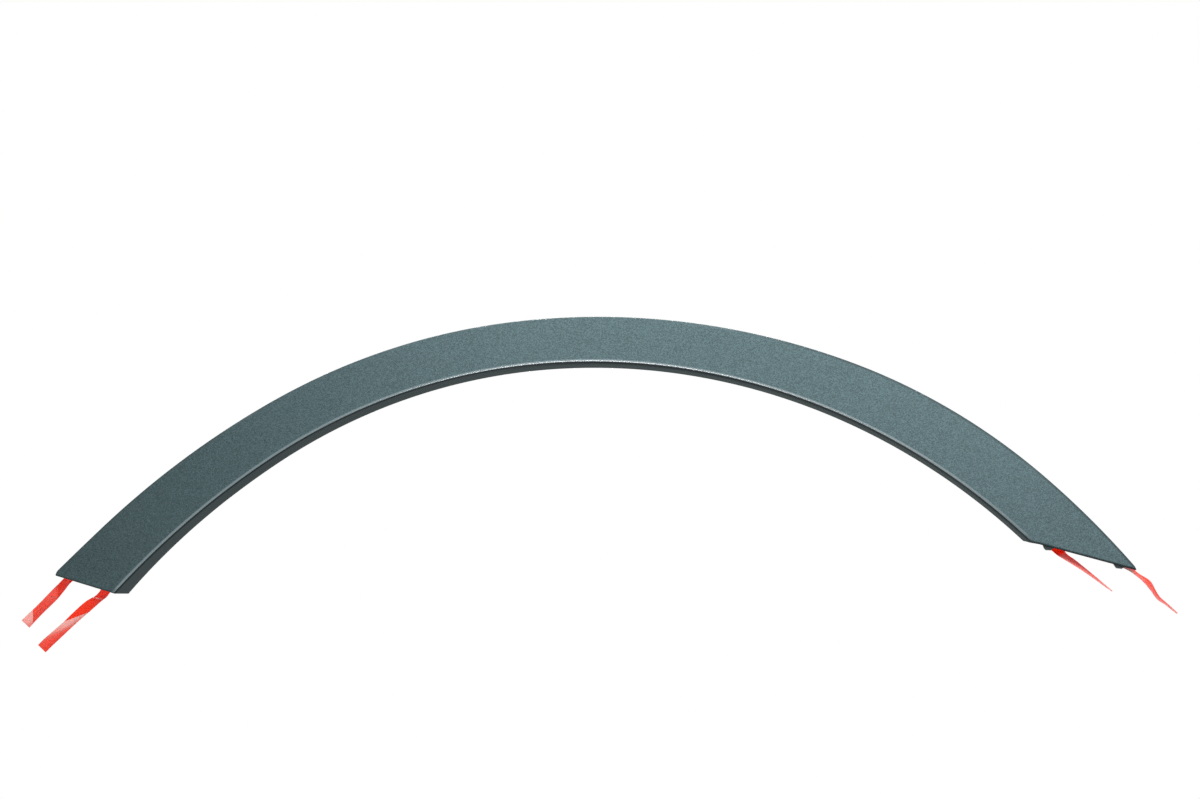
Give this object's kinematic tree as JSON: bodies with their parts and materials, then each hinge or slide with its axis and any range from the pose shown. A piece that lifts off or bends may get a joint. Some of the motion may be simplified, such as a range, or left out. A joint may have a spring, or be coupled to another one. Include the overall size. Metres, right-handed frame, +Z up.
{
  "type": "wheel arch trim",
  "caption": "Matte moulded arch band with an inner return lip that edges a car's wheel arch, backed by foam tapes whose red release films stick out past both ends.",
  "frame": {"origin": "on the rear face of the inner release film, on its centreline at the crown of the arch, where the trim meets the car's side", "axes": "+X along the car towards the short leg, +Y square into the car's side, +Z up; both end cuts are level"},
  "size_m": [0.6838, 0.0197, 0.3159],
  "materials": {
    "grained_plastic": "matte, finely grained",
    "foam_tape": "matte",
    "release_film": "glossy"
  },
  "bodies": {
    "root": {"arch_moulding": "grained_plastic", "inner_foam_tape": "foam_tape", "outer_foam_tape": "foam_tape", "inner_release_film": "release_film", "outer_release_film": "release_film"}
  },
  "joints": []
}
